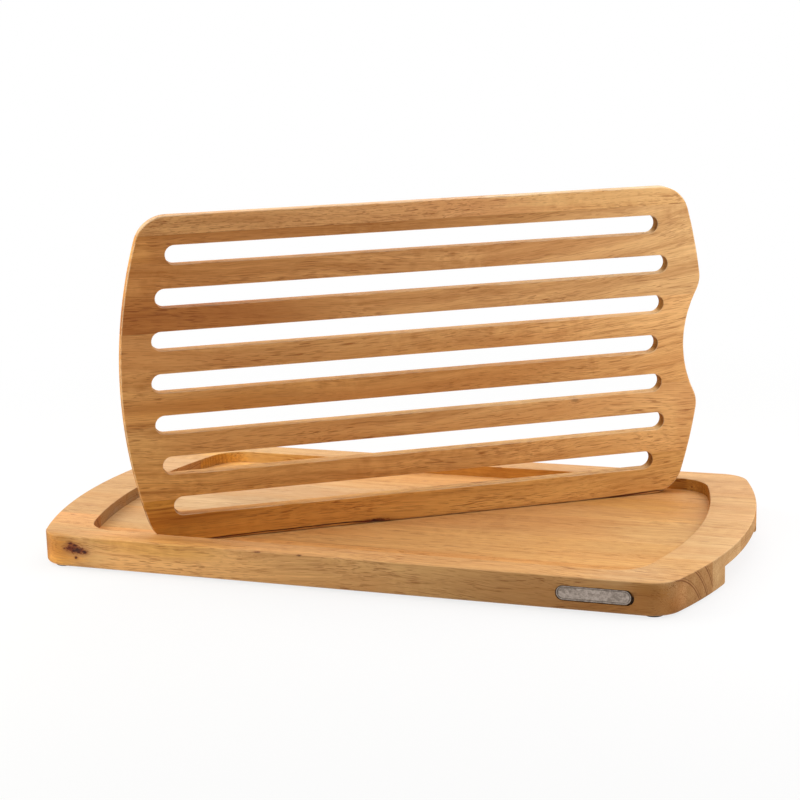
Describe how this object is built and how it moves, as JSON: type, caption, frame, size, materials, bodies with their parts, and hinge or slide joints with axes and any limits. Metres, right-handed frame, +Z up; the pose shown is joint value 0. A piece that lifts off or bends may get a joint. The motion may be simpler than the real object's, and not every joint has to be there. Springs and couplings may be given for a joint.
{
  "type": "bread board",
  "caption": "Wooden crumb-tray bread board with bulging ends, rubber feet and a metal badge, its slatted lift-out grid stood on edge across the crumb well.",
  "frame": {"origin": "on the surface that the feet stand on, under the middle of the tray", "axes": "+X along the tray's length to the end that the badge is near, +Y from its front long edge to its back one, +Z up"},
  "size_m": [0.45, 0.25, 0.2222],
  "materials": {
    "tray_stave_1": "oiled hardwood, satin",
    "tray_stave_2": "oiled hardwood, satin",
    "tray_stave_3": "oiled hardwood, satin",
    "tray_stave_4": "oiled hardwood, satin",
    "tray_stave_5": "oiled hardwood, satin",
    "grid_stave_1": "oiled hardwood, satin",
    "grid_stave_2": "oiled hardwood, satin",
    "grid_stave_3": "oiled hardwood, satin",
    "grid_stave_4": "oiled hardwood, satin",
    "grid_stave_5": "oiled hardwood, satin",
    "badge_metal": "dull pewter-coloured metal, brushed and aged",
    "foot_rubber": "matt black rubber"
  },
  "bodies": {
    "tray": {"tray_stave_1": "tray_stave_1", "tray_stave_2": "tray_stave_2", "tray_stave_3": "tray_stave_3", "tray_stave_4": "tray_stave_4", "tray_stave_5": "tray_stave_5", "badge_plate": "badge_metal", "foot_front_left": "foot_rubber", "foot_front_right": "foot_rubber", "foot_back_left": "foot_rubber", "foot_back_right": "foot_rubber"},
    "grid": {"grid_stave_1": "grid_stave_1", "grid_stave_2": "grid_stave_2", "grid_stave_3": "grid_stave_3", "grid_stave_4": "grid_stave_4", "grid_stave_5": "grid_stave_5"}
  },
  "joints": [
    {"name": "grid_lift", "type": "slide", "parent": "tray", "child": "grid", "axis": [0, 0, 1], "range_m": [0, 0.06]}
  ]
}
